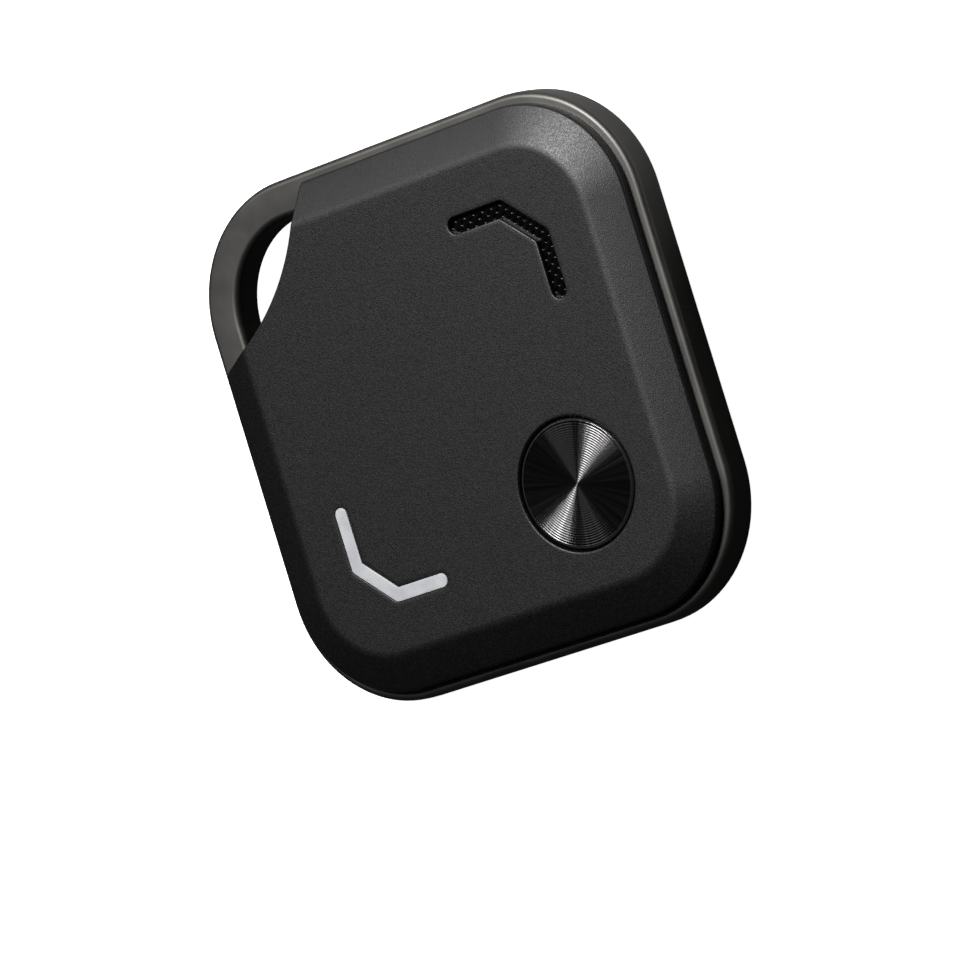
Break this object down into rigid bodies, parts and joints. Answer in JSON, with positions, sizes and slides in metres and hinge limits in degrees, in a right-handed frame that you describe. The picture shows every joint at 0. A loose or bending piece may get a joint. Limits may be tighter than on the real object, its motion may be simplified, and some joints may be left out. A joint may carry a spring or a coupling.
{
  "type": "bluetooth tracker tag",
  "caption": "Square bluetooth tracker tag with a metal frame that forms a corner key loop, a round push button, a light window, a sound slot and a twist-off battery door.",
  "frame": {"origin": "middle of the back face, which the tag lies on", "axes": "+Z out of the front face, +Y towards the top edge, +X to the right; the key loop is at the -X, +Y corner"},
  "size_m": [0.042, 0.042, 0.0068],
  "materials": {
    "gunmetal": "satin gunmetal",
    "front_shell": "fine sandblasted matt black",
    "back_shell": "fine matt black",
    "turned_black": "turned, black anodised",
    "light_window": "satin, translucent",
    "mesh_black": "black, perforated",
    "seal_rubber": "soft, matt",
    "foam": "foam",
    "cell_steel": "bright nickel",
    "inner_plastic": "plain moulded",
    "white_plastic": "plain moulded",
    "screw_steel": "zinc plated",
    "board": "green solder mask",
    "contact_metal": "gold flashed spring steel",
    "switch_metal": "stamped",
    "sounder_brass": "rolled",
    "sounder_ceramic": "silvered ceramic",
    "chip_black": "moulded epoxy",
    "crystal_can": "plated can",
    "led_body": "clear resin",
    "passive_body": "fired ceramic"
  },
  "bodies": {
    "case": {"frame": "gunmetal", "front_cover": "front_shell", "back_cover": "back_shell", "cover_seal": "seal_rubber", "coin_cell": "cell_steel", "chassis": "inner_plastic", "circuit_board": "board", "chassis_screws": "screw_steel", "switch_base": "white_plastic", "switch_dome": "switch_metal", "switch_cover": "switch_metal", "light_guide": "light_window", "speaker_mesh": "mesh_black", "mesh_gasket": "foam", "sounder_ring": "foam", "sounder_disc": "sounder_brass", "sounder_ceramic": "sounder_ceramic", "sounder_pins": "contact_metal", "negative_contact": "contact_metal", "positive_contact": "contact_metal", "radio_chip": "chip_black", "radio_crystal": "crystal_can", "antenna": "white_plastic", "sounder_coil": "chip_black", "indicator_leds": "led_body", "capacitors": "passive_body", "resistors": "chip_black"},
    "button": {"button_disc": "turned_black", "button_plunger": "inner_plastic", "button_seal": "seal_rubber"},
    "door": {"battery_door": "back_shell", "door_seal": "seal_rubber", "battery_pad": "foam"}
  },
  "joints": [
    {"name": "button_press", "type": "slide", "parent": "case", "child": "button", "axis": [0, 0, -1], "range_m": [0, 0.00025], "stiffness_N_per_m": 4000, "springref_m": -0.0002},
    {"name": "battery_door_turn", "type": "hinge", "parent": "case", "child": "door", "pos_m": [-0.0022, 0.0022, 0], "axis": [0, 0, -1], "range_deg": [0, 28]}
  ]
}
